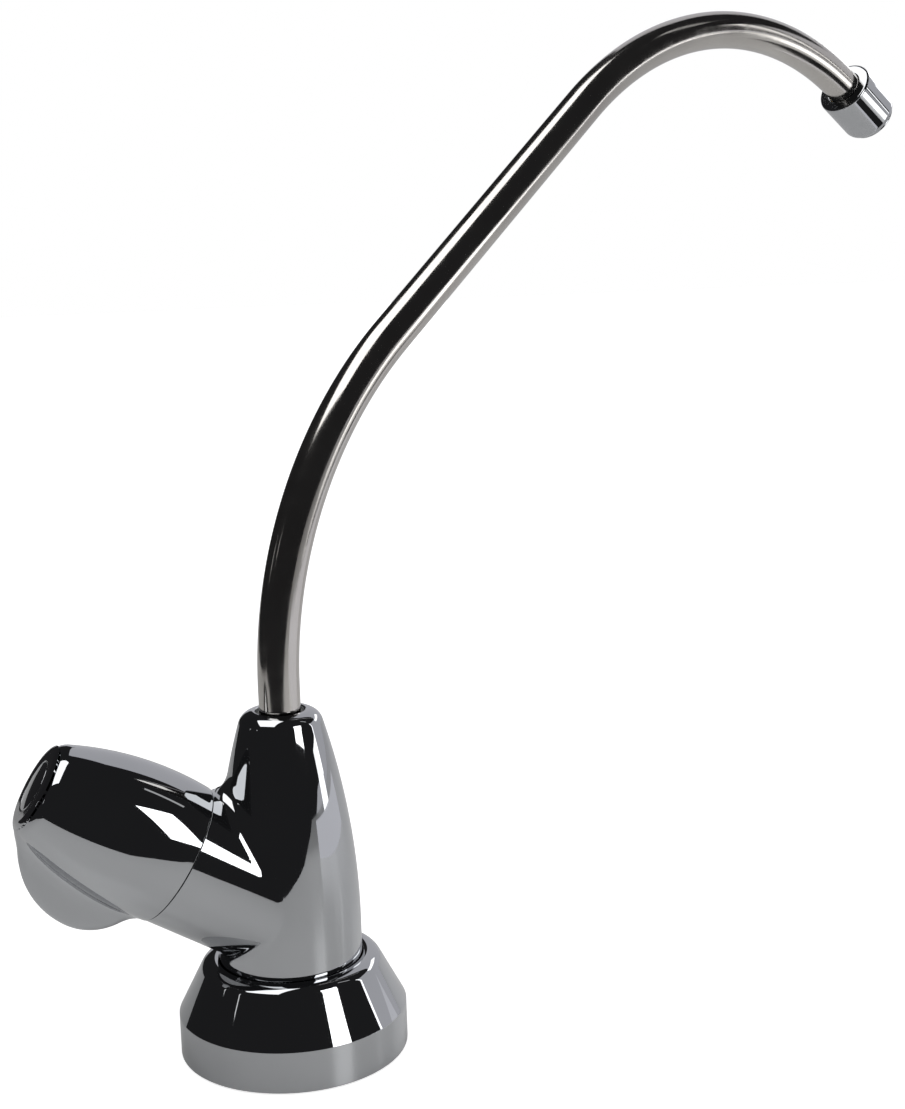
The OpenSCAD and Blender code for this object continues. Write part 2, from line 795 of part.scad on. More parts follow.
// Brass nose on the tube's lower end, grooved for two seals and the snap ring
module spout_sleeve() {
    color(brass)
        difference() {
            translate([0, 0, nose_z]) cylinder(h = nose_len + tube_in_sleeve, r = nose_r);
            translate([0, 0, tube_low_z]) cylinder(h = tube_in_sleeve + eps, r = tube_r + seal_gap / 2);
            translate([0, 0, nose_z - eps]) cylinder(h = nose_len + 2 * eps, r = nose_bore_r);
            for (i = [0, 1])
                translate([0, 0, nose_z + seal_lift + i * seal_pitch - spout_seal_r - seal_gap])
                    groove_cut(nose_r, spout_seal_ring_r - spout_seal_r, 2 * (spout_seal_r + seal_gap));
            translate([0, 0, snap_z - seal_gap])
                groove_cut(nose_r, snap_in_r - seal_gap, snap_t + 2 * seal_gap);
        }
}

module spout_o_rings() {
    color(rubber)
        for (i = [0, 1])
            translate([0, 0, nose_z + seal_lift + i * seal_pitch])
                round_ring(spout_seal_ring_r, spout_seal_r);
}

module spout_retaining_ring() {
    color(steel)
        in_spout_plane() translate([0, 0, snap_z]) open_ring(snap_out_r, snap_in_r, snap_t, snap_opening);
}

module outlet_ferrule() {
    color(brass)
        at_outlet(aerator_top_t)
            difference() {
                cylinder(h = ferrule_len, r = aerator_fill_r);
                translate([0, 0, -eps])
                    cylinder(h = ferrule_len - ferrule_stop + eps, r = tube_r + seal_gap / 2);
                cylinder(h = ferrule_len + eps, r = tube_bore_r);
            }
}

// Outlet housing: a cylinder with rounded edges, open at its lower end
module aerator_housing() {
    top_e = aerator_top_edge_r;
    low_e = aerator_low_edge_r;
    color(chrome)
        at_outlet(0)
            rotate_extrude()
                difference() {
                    union() {
                        translate([0, top_e]) square([aerator_r, aerator_len - top_e - low_e]);
                        square([aerator_r - top_e, aerator_len / 2]);
                        translate([0, aerator_len / 2]) square([aerator_r - low_e, aerator_len / 2]);
                        translate([aerator_r - top_e, top_e]) circle(top_e);
                        translate([aerator_r - low_e, aerator_len - low_e]) circle(low_e);
                    }
                    square([tube_r + thread_gap, aerator_len]);
                    translate([0, aerator_top_t]) square([aerator_bore_r, aerator_len]);
                }
}

module aerator_washer() {
    color(rubber) at_outlet(aerator_washer_u) ring(aerator_fill_r, tube_bore_r, aerator_washer_t);
}

// Holes on rings round the centre: one, then six more on each ring outwards
module hole_rings(hole_r, pitch, rings, h) {
    for (n = [0 : rings])
        for (i = [0 : max(0, 6 * n - 1)])
            rotate([0, 0, i * 360 / max(1, 6 * n)])
                translate([n * pitch, 0, -eps]) cylinder(h = h + 2 * eps, r = hole_r, $fn = 24);
}

module aerator_screen() {
    color(steel)
        at_outlet(screen_u)
            difference() {
                cylinder(h = screen_t, r = aerator_fill_r);
                hole_rings(screen_hole_r, (aerator_fill_r - aerator_wall) / 4, 4, screen_t);
            }
}

module aerator_insert() {
    color(plastic)
        at_outlet(insert_u)
            difference() {
                cylinder(h = insert_len, r = aerator_fill_r);
                hole_rings(insert_hole_r, (aerator_fill_r - aerator_wall) / 2, 2, insert_len);
            }
}

valve_body();
base_escutcheon();
base_gasket();
spout_bush();
cartridge_body();
cartridge_gasket();
fixed_disc();
seat_seal();
thrust_washer();
threaded_shank();
shank_seal();
deck_washer();
backing_washer();
lock_washer();
shank_nut();
spout_tube();
spout_sleeve();
spout_o_rings();
spout_retaining_ring();
outlet_ferrule();
aerator_housing();
aerator_washer();
aerator_screen();
aerator_insert();
handle_knob();
handle_cap();
handle_screw();
valve_stem();
stem_o_rings();
stem_clip();
drive_disc();
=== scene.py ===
"""Looks of a drinking water filter tap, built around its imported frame.

Mesh code works in millimetres, in the frame's own axes, and make_piece turns the result into metres.
"""

import json
import math

import bmesh
import bpy
import numpy as np
from mathutils import Matrix, Vector


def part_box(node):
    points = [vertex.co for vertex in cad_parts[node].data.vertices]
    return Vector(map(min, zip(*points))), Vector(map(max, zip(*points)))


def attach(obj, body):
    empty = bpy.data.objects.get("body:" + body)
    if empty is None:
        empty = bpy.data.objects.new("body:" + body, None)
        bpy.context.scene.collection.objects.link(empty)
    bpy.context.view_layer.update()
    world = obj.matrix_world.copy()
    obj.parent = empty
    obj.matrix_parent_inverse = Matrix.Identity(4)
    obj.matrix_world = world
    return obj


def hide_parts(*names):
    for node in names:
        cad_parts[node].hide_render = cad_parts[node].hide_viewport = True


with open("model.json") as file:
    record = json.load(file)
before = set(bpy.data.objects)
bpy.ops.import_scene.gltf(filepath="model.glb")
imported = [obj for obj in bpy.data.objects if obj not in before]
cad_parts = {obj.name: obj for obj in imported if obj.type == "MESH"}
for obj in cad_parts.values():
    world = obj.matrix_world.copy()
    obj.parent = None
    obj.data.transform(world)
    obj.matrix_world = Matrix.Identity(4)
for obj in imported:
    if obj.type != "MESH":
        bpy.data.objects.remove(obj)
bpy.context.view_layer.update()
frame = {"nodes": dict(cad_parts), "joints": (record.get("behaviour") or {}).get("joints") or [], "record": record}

MM = 0.001


def box_mm(node):
    """Lowest and highest corner of a node, in millimetres."""
    low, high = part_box(node)
    return np.array(low) / MM, np.array(high) / MM


def joint(name):
    """The place, in millimetres, and the axis of a joint."""
    found = next(j for j in frame["joints"] if j["name"] == name)
    return np.array(found["pos_m"]) / MM, np.array(found["axis"])


# Sizes that the frame gives
BRANCH_START, BRANCH_AXIS = joint("handle_turn")
BASE_R = box_mm("base_escutcheon")[1][0]
RIM_Z = box_mm("base_escutcheon")[0][2]
NECK_TOP_Z = box_mm("valve_body")[1][2]
SPIGOT_Z = box_mm("valve_body")[0][2]
BODY_R = box_mm("valve_body")[1][0]

# Base cover
BAND_TOP_Z = 10.0
CONE_TOP = (21.05, 20.5)
LIP_R = 3.5
FOOT_BORE_R = 16.9
LEDGE_TOP_Z, LEDGE_LOW_Z = 12.0, 8.5
BASE_HOLE_R, BASE_HOLLOW_R, GASKET_RECESS_R = 12.3, 23.5, 25.0
GASKET_T = 2.0
BAND_EDGE_R = 0.22

# Body
NECK_START_Z = 30.0
NECK_ARC_R = 171.0
NECK_EDGE_R = 3.8
NECK_BORE_R = 5.7
NECK_CUT_Z = 74.0
SOCKET_Z = 52.0
FOOT_CUT_Z = 19.0
SPIGOT_R = 12.0
SHANK_HOLE_R, SHANK_HOLE_TOP_Z = 5.66, 17.9
BRANCH_LEN = 30.35
BRANCH_ROOT_R, BRANCH_MOUTH_R = 15.6, 16.2
BRANCH_CUT = 29.0
CHAMBER_R, SEAT = 10.4, 4.0
FLANGE_RECESS_R, FLANGE_SEAT = 12.9, 26.85
CROTCH_BLEND = 4.2
SMALL_EDGE_R = 0.25
SEAM_EDGE_R = 0.08

# Clearance of the button in the knob, and of the tube in the outlet
FIT_GAP = 0.1

# Knob, along the branch from its mouth
KNOB_R, KNOB_WIDE = 16.6, 6.0
KNOB_ARC_R = 74.0
KNOB_LEN, KNOB_LOW = 36.0, 0.25
KNOB_EDGE_R = 2.8
KNOB_HOLLOW_R, KNOB_HOLLOW_TOP = 13.0, 11.1
KNOB_LOW_CUT, KNOB_END_CUT = 1.3, 35.4
CAP_R, CAP_T, CAP_DOME = 5.85, 2.2, 0.4
WING_REACH, WING_PEAK = 24.6, 14.5
WING_INNER_R, WING_OUTER_R = 13.0, 20.0
WING_T, WING_EDGE_R = 6.0, 1.4
WING_BLEND = 3.4

# Spout
TUBE_R, TUBE_WALL = 9.525 / 2, 0.9
TUBE_BORE_R = TUBE_R - TUBE_WALL
TUBE_CHAMFER = 0.08
TUBE_LOW_Z, SPOUT_RISE = 65.8, 86.7
LOWER_BEND_R, LOWER_BEND = 100.9, 49.7
SPOUT_RUN = 81.8
UPPER_BEND_R, UPPER_BEND = 86.1, 72.9
TUBE_END = 5.8
SPOUT_REST = 21.9
AERATOR_R, AERATOR_LEN = 7.75, 15.4
AERATOR_TOP_EDGE_R, AERATOR_LOW_EDGE_R = 0.7, 2.6
AERATOR_BORE_R, AERATOR_TOP_T = 6.45, 1.8

# Fineness of the meshes: steps to a turn, an edge's step in degrees, and lengths in millimetres
TURN_STEPS, TUBE_STEPS = 160, 72
EDGE_STEP = 12.0
STRAIGHT_STEP = 4.0
NET_STEP, NET_MARGIN = 0.65, 2.0
NET_ROUNDS, NET_PULLS = 10, 3
BODY_NET_BACK, BODY_NET_SIDE = 45.0, 18.5
CUT_REACH, CUT_SNAP = 1.08, NET_STEP / 4

# Limits below which a value counts as nothing
NO_TURN, ON_AXIS, ON_PLANE, TINY = 1e-6, 1e-6, 1e-3, 1e-9
LEAST_BLEND = 1e-3
UNSET_NORMAL = 0.5

UP, DOWN = (0.0, 0.0, 1.0), (0.0, 0.0, -1.0)
BASE_MIDDLE = (0, 0, 0)


# Turned outlines: rows of (radius, height, outward normal's two parts), with the metal on the left
def arc(centre, radius, start, end, sign=1, step=6.0):
    """Rows along an arc between two angles in degrees. The normal points out of the circle, or in."""
    count = max(2, math.ceil(abs(end - start) / step))
    angles = np.radians(np.linspace(start, end, count + 1))
    out = np.stack([np.cos(angles), np.sin(angles)], axis=1)
    return np.hstack([np.array(centre) + radius * out, sign * out])


def rounded(corners, closed=False):
    """Rows along straight runs between corners (radius, height, rounding)."""
    points = [np.array(c[:2], float) for c in corners]
    rows = []
    for i, corner in enumerate(corners):
        ends = not closed and i in (0, len(corners) - 1)
        before = points[i] - points[i - 1] if i or closed else points[1] - points[0]
        after = points[(i + 1) % len(points)] - points[i] if i + 1 < len(points) or closed else before
        before, after = before / np.linalg.norm(before), after / np.linalg.norm(after)
        turn = math.atan2(before[0] * after[1] - before[1] * after[0], before @ after)
        if ends or abs(turn) < NO_TURN:
            rows.append(np.array([[*points[i], before[1], -before[0]]]))
            continue
        sign = 1 if turn > 0 else -1
        start = points[i] - before * corner[2] * math.tan(abs(turn) / 2)
        centre = start + sign * corner[2] * np.array([-before[1], before[0]])
        heading = math.degrees(math.atan2(-sign * before[0], sign * before[1]))
        rows.append(arc(centre, corner[2], heading, heading + math.degrees(turn), sign, EDGE_STEP))
    return np.concatenate(rows)


def turned(rows, closed=False, steps=TURN_STEPS):
    """Vertices, faces and normals of a turned shape about Z. Rows on the axis become one point."""
    angles = np.linspace(0, 2 * math.pi, steps, endpoint=False)
    ring = np.stack([np.cos(angles), np.sin(angles)], axis=1)
    verts, normals, index = [], [], []
    for r, z, nr, nz in rows:
        count = 1 if r < ON_AXIS else steps
        index.append([len(verts) + (i if count > 1 else 0) for i in range(steps)])
        verts += [(r * c, r * s, z) for c, s in ring[:count]]
        normals += [(nr * c, nr * s, nz) if count > 1 else (0, 0, nz) for c, s in ring[:count]]
    pairs = list(zip(index, index[1:] + index[:1])) if closed else list(zip(index, index[1:]))
    faces = [
        tuple(dict.fromkeys((low[i], low[(i + 1) % steps], high[(i + 1) % steps], high[i])))
        for low, high in pairs
        for i in range(steps)
    ]
    return np.array(verts), faces, np.array(normals)


def axes_about(axis):
    """Two directions square to an axis and to each other. The first lies in the XZ plane."""
    axis = np.array(axis, float)
    side = np.cross([0.0, 1.0, 0.0], axis)
    side /= np.linalg.norm(side)
    return side, np.cross(axis, side)


def placed(parts, origin, axis):
    """Moves a shape that was turned about Z onto another axis."""
    verts, faces, normals = parts
    side, across = axes_about(axis)
    basis = np.stack([side, across, np.array(axis, float)])
    return verts @ basis + np.array(origin), faces, normals @ basis


# Blended shapes: a field that is negative in the metal, and a net of quads on its zero surface
def rounded_both(a, b, radius):
    """Field of what is inside both fields, with their common edge rounded."""
    u, v = a + radius, b + radius
    return np.minimum(np.maximum(u, v), 0) + np.hypot(np.maximum(u, 0), np.maximum(v, 0)) - radius


def blended(a, b, normal_a, normal_b, width):
    """Field of what is inside either field, with a fillet where they meet at an angle."""
    width = width * np.maximum(1 - (normal_a * normal_b).sum(-1), LEAST_BLEND)
    near = np.maximum(width - np.abs(a - b), 0) / width
    return np.minimum(a, b) - near ** 2 * width / 4


def unit(vectors):
    return vectors / np.maximum(np.linalg.norm(vectors, axis=-1, keepdims=True), TINY)


def along_axis(points, origin, axis):
    """Distance along an axis, the offset from it, and the length of that offset."""
    offset = points - origin
    along = offset @ axis
    offset = offset - along[..., None] * axis
    return along, offset, np.linalg.norm(offset, axis=-1)


def ogive(r, z, wide_r, arc_r, wide_z):
    """Field and normal (outwards, upwards) of a barrel that is straight at first and then narrows."""
    rise = np.maximum(z - wide_z, 0)
    out = r - wide_r + arc_r
    reach = np.hypot(out, rise)
    return reach - arc_r, out / reach, rise / reach


def neck_field(points):
    """Field and normal of the neck, with its top edge rounded."""
    r = np.hypot(points[..., 0], points[..., 1])
    field, out, up = ogive(r, points[..., 2], BODY_R, NECK_ARC_R, NECK_START_Z)
    safe_r = np.maximum(r, TINY)
    normal = np.stack([points[..., 0] / safe_r * out, points[..., 1] / safe_r * out, up], axis=-1)
    return rounded_both(field, points[..., 2] - NECK_TOP_Z, NECK_EDGE_R), normal


def branch_field(points):
    """Field and normal of the inclined branch, which widens a little to its mouth."""
    along, offset, r = along_axis(points, BRANCH_START, BRANCH_AXIS)
    slope = (BRANCH_MOUTH_R - BRANCH_ROOT_R) / BRANCH_LEN
    return np.maximum(r - BRANCH_ROOT_R - slope * along, -along), unit(offset)


def body_field(points):
    neck, neck_normal = neck_field(points)
    branch, branch_normal = branch_field(points)
    return blended(neck, branch, neck_normal, branch_normal, CROTCH_BLEND)


def wing_field(points):
    """Flat wing under the knob: two arcs that share a level tip, with a rounded rim."""
    along, offset, _ = along_axis(points, BRANCH_START + BRANCH_LEN * BRANCH_AXIS, BRANCH_AXIS)
    side, across = axes_about(BRANCH_AXIS)
    down = -offset @ side
    over = offset @ across
    radius = np.where(along < WING_PEAK, WING_INNER_R, WING_OUTER_R)
    centre = WING_REACH - radius
    outline = np.hypot(np.maximum(down - centre, 0), along - WING_PEAK) - radius
    outline = np.maximum(outline, -down)
    normal = np.sign(over)[..., None] * across
    return rounded_both(outline, np.abs(over) - WING_T / 2, WING_EDGE_R), normal


def barrel_field(points):
    """Field and normal of the knob's barrel, with its end's edge rounded."""
    along, offset, r = along_axis(points, BRANCH_START + BRANCH_LEN * BRANCH_AXIS, BRANCH_AXIS)
    rise = along - KNOB_WIDE
    out = r - KNOB_R + KNOB_ARC_R
    reach = np.hypot(out, rise)
    normal = unit(offset) * (out / reach)[..., None] + BRANCH_AXIS * (rise / reach)[..., None]
    return rounded_both(reach - KNOB_ARC_R, along - KNOB_LEN, KNOB_EDGE_R), normal


def knob_field(points):
    barrel, barrel_normal = barrel_field(points)
    wing, wing_normal = wing_field(points)
    return blended(barrel, wing, barrel_normal, wing_normal, WING_BLEND)


def gradient(field, points, reach=0.01):
    """Unit slope of a field."""
    parts = [field(points + reach * e) - field(points - reach * e) for e in np.eye(3)]
    return unit(np.stack(parts, axis=-1))


def surface_net(field, low, high, step):
    """A vertex in each grid cell that the surface crosses, and a quad round each such grid edge."""
    lines = [np.arange(a, b, step) for a, b in zip(low, high)]
    grid = np.stack(np.meshgrid(*lines, indexing="ij"), axis=-1)
    solid = field(grid) < 0
    size = [n - 1 for n in solid.shape]
    shifts = [(i, j, k) for i in (0, 1) for j in (0, 1) for k in (0, 1)]
    filled = sum(
        solid[i:i + size[0], j:j + size[1], k:k + size[2]].astype(int) for i, j, k in shifts
    )
    crossed = (filled > 0) & (filled < len(shifts))
    number = np.cumsum(crossed.ravel()).reshape(crossed.shape) - 1
    verts = grid[:-1, :-1, :-1][crossed] + step / 2
    faces = []
    for axis in range(3):
        a, b = [n for n in range(3) if n != axis]
        edges = np.argwhere(np.diff(solid.astype(int), axis=axis) != 0)
        along_a, along_b = edges[:, a], edges[:, b]
        inner = (along_a > 0) & (along_b > 0) & (along_a < size[a]) & (along_b < size[b])
        corners = []
        for da, db in ((-1, -1), (0, -1), (0, 0), (-1, 0)):
            cell = edges[inner].copy()
            cell[:, a] += da
            cell[:, b] += db
            corners.append(number[tuple(cell.T)])
        faces.append(np.stack(corners, axis=1))
    return verts, np.concatenate(faces)


def settled(field, verts, faces):
    """Evens out a net and brings its vertices onto the surface."""
    pairs = np.concatenate([faces[:, [0, 1]], faces[:, [1, 2]], faces[:, [2, 3]], faces[:, [3, 0]]])
    pairs = np.concatenate([pairs, pairs[:, ::-1]])
    count = np.bincount(pairs[:, 0], minlength=len(verts))
    for _ in range(NET_ROUNDS):
        sums = [np.bincount(pairs[:, 0], places, len(verts)) for places in verts[pairs[:, 1]].T]
        verts = (verts + np.stack(sums, axis=-1) / count[:, None]) / 2
        for _ in range(NET_PULLS):
            verts = verts - field(verts)[:, None] * gradient(field, verts)
    return verts


class Blend:
    """A net on a field's surface, which is cut square to an axis and carried on as turned ends."""

    def __init__(self, field, low, high):
        verts, faces = surface_net(field, low, high, NET_STEP)
        verts = settled(field, verts, faces)
        self.field = field
        self.bm = bmesh.new()
        self.normal = self.bm.verts.layers.float_vector.new("outward")
        made = [self.bm.verts.new(v) for v in verts]
        for face in faces:
            self.bm.faces.new([made[i] for i in face])

    def turn_end(self, origin, axis, rows):
        """Cuts at the first row's height along the axis, and continues along the rows."""
        side, across = axes_about(axis)
        start = Vector(np.array(origin) + rows[0][1] * np.array(axis))
        faces = [f for f in self.bm.faces if self.beside(f, start, axis) < rows[0][0] * CUT_REACH]
        edges = {e for f in faces for e in f.edges}
        verts = {v for f in faces for v in f.verts}
        bmesh.ops.bisect_plane(
            self.bm,
            geom=[*verts, *edges, *faces],
            dist=CUT_SNAP,
            plane_co=start,
            plane_no=Vector(axis),
            use_snap_center=True,
            clear_outer=True,
        )
        loop = self.cut_loop(start, Vector(axis))
        offsets = [np.array(v.co) - np.array(start) for v in loop]
        angles = [math.atan2(o @ across, o @ side) for o in offsets]
        outs = [math.cos(a) * side + math.sin(a) * across for a in angles]
        for vert, out in zip(loop, outs):
            vert.co = start + Vector(rows[0][0] * out)
        last = loop
        for r, z, nr, nz in rows[1:]:
            place = np.array(origin) + z * np.array(axis)
            ring = []
            for out in outs[:1] if r < ON_AXIS else outs:
                vert = self.bm.verts.new(place + r * out)
                vert[self.normal] = Vector(nr * out + nz * np.array(axis))
                ring.append(vert)
            ring = ring * len(outs) if len(ring) == 1 else ring
            for i in range(len(outs)):
                after = (i + 1) % len(outs)
                self.bm.faces.new(dict.fromkeys((last[i], last[after], ring[after], ring[i])))
            last = ring

    @staticmethod
    def beside(face, start, axis):
        """How far a face lies from the axis through a cut."""
        offset = face.calc_center_median() - start
        return (offset - offset.dot(Vector(axis)) * Vector(axis)).length

    def cut_loop(self, start, axis):
        """The open edge on a cut, in order."""
        edges = {
            e for e in self.bm.edges
            if e.is_boundary and all(abs((v.co - start).dot(axis)) < ON_PLANE for v in e.verts)
        }
        edge = min(edges, key=lambda e: e.index)
        loop = [edge.verts[0]]
        vert = edge.verts[1]
        while vert != loop[0]:
            loop.append(vert)
            edge = next(e for e in vert.link_edges if e in edges and e != edge)
            vert = edge.other_vert(vert)
        return loop

    def parts(self):
        """Vertices, faces and normals, with the field's slope as the normal of the net."""
        self.bm.verts.index_update()
        verts = np.array([v.co for v in self.bm.verts])
        normals = np.array([v[self.normal] for v in self.bm.verts])
        net = np.linalg.norm(normals, axis=1) < UNSET_NORMAL
        normals[net] = gradient(self.field, verts[net])
        faces = [tuple(v.index for v in f.verts) for f in self.bm.faces]
        self.bm.free()
        return verts, faces, normals


def make_piece(name, parts, slot, body, node):
    """A smooth mesh object with a slot's finish, which stands for a node and rides on a body."""
    verts, faces, normals = parts
    outward = []
    for face in faces:
        p = verts[list(face)]
        turned_in = np.cross(p[1] - p[0], p[-1] - p[0]) @ normals[list(face)].sum(0) < 0
        outward.append(face[::-1] if turned_in else face)
    mesh = bpy.data.meshes.new(name)
    mesh.from_pydata((verts * MM).tolist(), [], outward)
    mesh.polygons.foreach_set("use_smooth", [True] * len(mesh.polygons))
    mesh.normals_split_custom_set_from_vertices(unit(normals).tolist())
    mesh.materials.append(SLOT_MATERIALS[slot])
    piece = bpy.data.objects.new(name, mesh)
    bpy.context.scene.collection.objects.link(piece)
    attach(piece, body)
    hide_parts(node)
    return piece


# Shapes of the pieces
def base_cover():
    """Cone that runs into a round lip, over a band, with a ledge, a hollow and a gasket recess inside."""
    slope = math.atan2(BASE_R - CONE_TOP[0], CONE_TOP[1] - BAND_TOP_Z)
    lip = np.array(CONE_TOP) - LIP_R * np.array([math.cos(slope), math.sin(slope)])
    edge_reach = LIP_R - SEAM_EDGE_R
    edge_angle = math.acos((FOOT_BORE_R + SEAM_EDGE_R - lip[0]) / edge_reach)
    edge = lip + edge_reach * np.array([math.cos(edge_angle), math.sin(edge_angle)])
    lower = rounded(
        [
            (FOOT_BORE_R, edge[1], 0),
            (FOOT_BORE_R, LEDGE_TOP_Z, SMALL_EDGE_R),
            (BASE_HOLE_R, LEDGE_TOP_Z, SMALL_EDGE_R),
            (BASE_HOLE_R, LEDGE_LOW_Z, SMALL_EDGE_R),
            (BASE_HOLLOW_R, LEDGE_LOW_Z, SMALL_EDGE_R),
            (BASE_HOLLOW_R, GASKET_T, SMALL_EDGE_R),
            (GASKET_RECESS_R, GASKET_T, SMALL_EDGE_R),
            (GASKET_RECESS_R, RIM_Z, SMALL_EDGE_R),
            (BASE_R, RIM_Z, SMALL_EDGE_R),
            (BASE_R, BAND_TOP_Z, BAND_EDGE_R),
            (*CONE_TOP, 0),
        ]
    )
    crest = arc(lip, LIP_R, math.degrees(slope), math.degrees(edge_angle), step=3.0)
    rim = arc(edge, SEAM_EDGE_R, math.degrees(edge_angle), 180, step=15.0)
    return turned(np.concatenate([lower[:-1], crest, rim[1:-1]]), closed=True)


def ogive_end(wide_r, arc_r, wide, start, end, edge_r):
    """Rows from a height on an ogive's arc up to the inner edge of its rounded end."""
    rise = end - wide
    flat_r = wide_r - arc_r + math.sqrt((arc_r - edge_r) ** 2 - (rise - edge_r) ** 2)
    edge_angle = math.degrees(math.asin((rise - edge_r) / (arc_r - edge_r)))
    start_angle = math.degrees(math.asin((start - wide) / arc_r))
    shoulder = arc((flat_r, end - edge_r), edge_r, edge_angle, 90)
    if start_angle >= edge_angle:
        shoulder_angle = math.degrees(math.asin((start - end + edge_r) / edge_r))
        return arc((flat_r, end - edge_r), edge_r, shoulder_angle, 90)
    side = arc((wide_r - arc_r, wide), arc_r, start_angle, edge_angle, step=0.5)
    return np.concatenate([side[:-1], shoulder])


def body():
    """Neck and branch in one casting, with the valve's chamber, the spout's socket and the spigot."""
    low = (-BODY_NET_BACK, -BODY_NET_SIDE, FOOT_CUT_Z - NET_MARGIN)
    high = (BODY_NET_SIDE, BODY_NET_SIDE, NECK_CUT_Z + NET_MARGIN)
    blend = Blend(body_field, low, high)
    mouth = rounded(
        [
            (BRANCH_ROOT_R + (BRANCH_MOUTH_R - BRANCH_ROOT_R) * BRANCH_CUT / BRANCH_LEN, BRANCH_CUT, 0),
            (BRANCH_MOUTH_R, BRANCH_LEN, SEAM_EDGE_R),
            (FLANGE_RECESS_R, BRANCH_LEN, SMALL_EDGE_R),
            (FLANGE_RECESS_R, FLANGE_SEAT, SMALL_EDGE_R),
            (CHAMBER_R, FLANGE_SEAT, SMALL_EDGE_R),
            (CHAMBER_R, SEAT, SMALL_EDGE_R),
            (0, SEAT, 0),
        ]
    )
    blend.turn_end(BRANCH_START, BRANCH_AXIS, mouth)
    neck = ogive_end(BODY_R, NECK_ARC_R, NECK_START_Z, NECK_CUT_Z, NECK_TOP_Z, NECK_EDGE_R)
    socket = rounded(
        [
            (neck[-1][0], NECK_TOP_Z, 0),
            (NECK_BORE_R, NECK_TOP_Z, SMALL_EDGE_R),
            (NECK_BORE_R, SOCKET_Z, SMALL_EDGE_R),
            (0, SOCKET_Z, 0),
        ]
    )
    blend.turn_end(BASE_MIDDLE, UP, np.concatenate([neck, socket[1:]]))
    foot = rounded(
        [
            (BODY_R, -FOOT_CUT_Z, 0),
            (BODY_R, -LEDGE_TOP_Z, SMALL_EDGE_R),
            (SPIGOT_R, -LEDGE_TOP_Z, SMALL_EDGE_R),
            (SPIGOT_R, -SPIGOT_Z, SMALL_EDGE_R),
            (SHANK_HOLE_R, -SPIGOT_Z, SMALL_EDGE_R),
            (SHANK_HOLE_R, -SHANK_HOLE_TOP_Z, SMALL_EDGE_R),
            (0, -SHANK_HOLE_TOP_Z, 0),
        ]
    )
    blend.turn_end(BASE_MIDDLE, DOWN, foot)
    return blend.parts()


def knob():
    """Barrel with the wing, the button's recess in its end and the stem's hollow in its mouth."""
    start = BRANCH_START + BRANCH_LEN * BRANCH_AXIS
    reach = KNOB_LEN + WING_REACH
    low = start - [reach, WING_REACH, WING_REACH]
    high = start + [WING_REACH, WING_REACH, reach]
    blend = Blend(knob_field, low, high)
    end = ogive_end(KNOB_R, KNOB_ARC_R, KNOB_WIDE, KNOB_END_CUT, KNOB_LEN, KNOB_EDGE_R)
    recess = rounded(
        [
            (end[-1][0], KNOB_LEN, 0),
            (CAP_R + FIT_GAP, KNOB_LEN, SMALL_EDGE_R),
            (CAP_R + FIT_GAP, KNOB_LEN - CAP_T, SMALL_EDGE_R),
            (0, KNOB_LEN - CAP_T, 0),
        ]
    )
    blend.turn_end(start, BRANCH_AXIS, np.concatenate([end, recess[1:]]))
    lows = (KNOB_LOW_CUT, KNOB_LOW)
    low_angles = [math.degrees(math.asin((KNOB_WIDE - low) / KNOB_ARC_R)) for low in lows]
    skirt = arc((KNOB_R - KNOB_ARC_R, -KNOB_WIDE), KNOB_ARC_R, *low_angles, step=1.0)
    mouth = rounded(
        [
            (skirt[0][0], -KNOB_LOW_CUT, 0),
            (skirt[-1][0], -KNOB_LOW, SEAM_EDGE_R),
            (KNOB_HOLLOW_R, -KNOB_LOW, SMALL_EDGE_R),
            (KNOB_HOLLOW_R, -KNOB_HOLLOW_TOP, SMALL_EDGE_R),
            (0, -KNOB_HOLLOW_TOP, 0),
        ]
    )
    blend.turn_end(start, -BRANCH_AXIS, mouth)
    return blend.parts()


def cap():
    """Button with a slight dome."""
    dome_r = (CAP_R ** 2 + CAP_DOME ** 2) / (2 * CAP_DOME)
    side = rounded([(0, 0, 0), (CAP_R, 0, SMALL_EDGE_R), (CAP_R, CAP_T - SMALL_EDGE_R, 0)])
    tilt = math.degrees(math.asin((CAP_R - SMALL_EDGE_R) / dome_r))
    edge = arc((CAP_R - SMALL_EDGE_R, CAP_T - SMALL_EDGE_R), SMALL_EDGE_R, 0, 90 - tilt, step=15.0)
    dome = arc((0, edge[-1][1] - dome_r * math.cos(math.radians(tilt))), dome_r, 90 - tilt, 90, step=1.5)
    start = BRANCH_START + (BRANCH_LEN + KNOB_LEN - CAP_T) * BRANCH_AXIS
    return placed(turned(np.concatenate([side[:-1], edge, dome[1:]])), start, BRANCH_AXIS)


def run_point(place, heading, size, bend, share):
    """Point and heading at a share of a run: a straight of a length, or a bend of a radius."""
    ahead = np.array([math.sin(heading), math.cos(heading)])
    aside = np.array([math.cos(heading), -math.sin(heading)])
    if not bend:
        return place + size * share * ahead, heading
    turn = math.radians(bend * share)
    return place + size * (math.sin(turn) * ahead + (1 - math.cos(turn)) * aside), heading + turn


def spout_path():
    """Points and headings along the tube's middle, in the spout's plane."""
    places, headings = [], []
    place, heading = np.array([0.0, TUBE_LOW_Z]), 0.0
    runs = [
        (SPOUT_RISE - TUBE_LOW_Z, 0),
        (LOWER_BEND_R, LOWER_BEND),
        (SPOUT_RUN, 0),
        (UPPER_BEND_R, UPPER_BEND),
        (TUBE_END, 0),
    ]
    for size, bend in runs:
        count = math.ceil(bend) if bend else math.ceil(size / STRAIGHT_STEP)
        for n in range(count):
            between = run_point(place, heading, size, bend, n / count)
            places.append(between[0])
            headings.append(between[1])
        place, heading = run_point(place, heading, size, bend, 1)
    return np.array([*places, place]), np.array([*headings, heading])


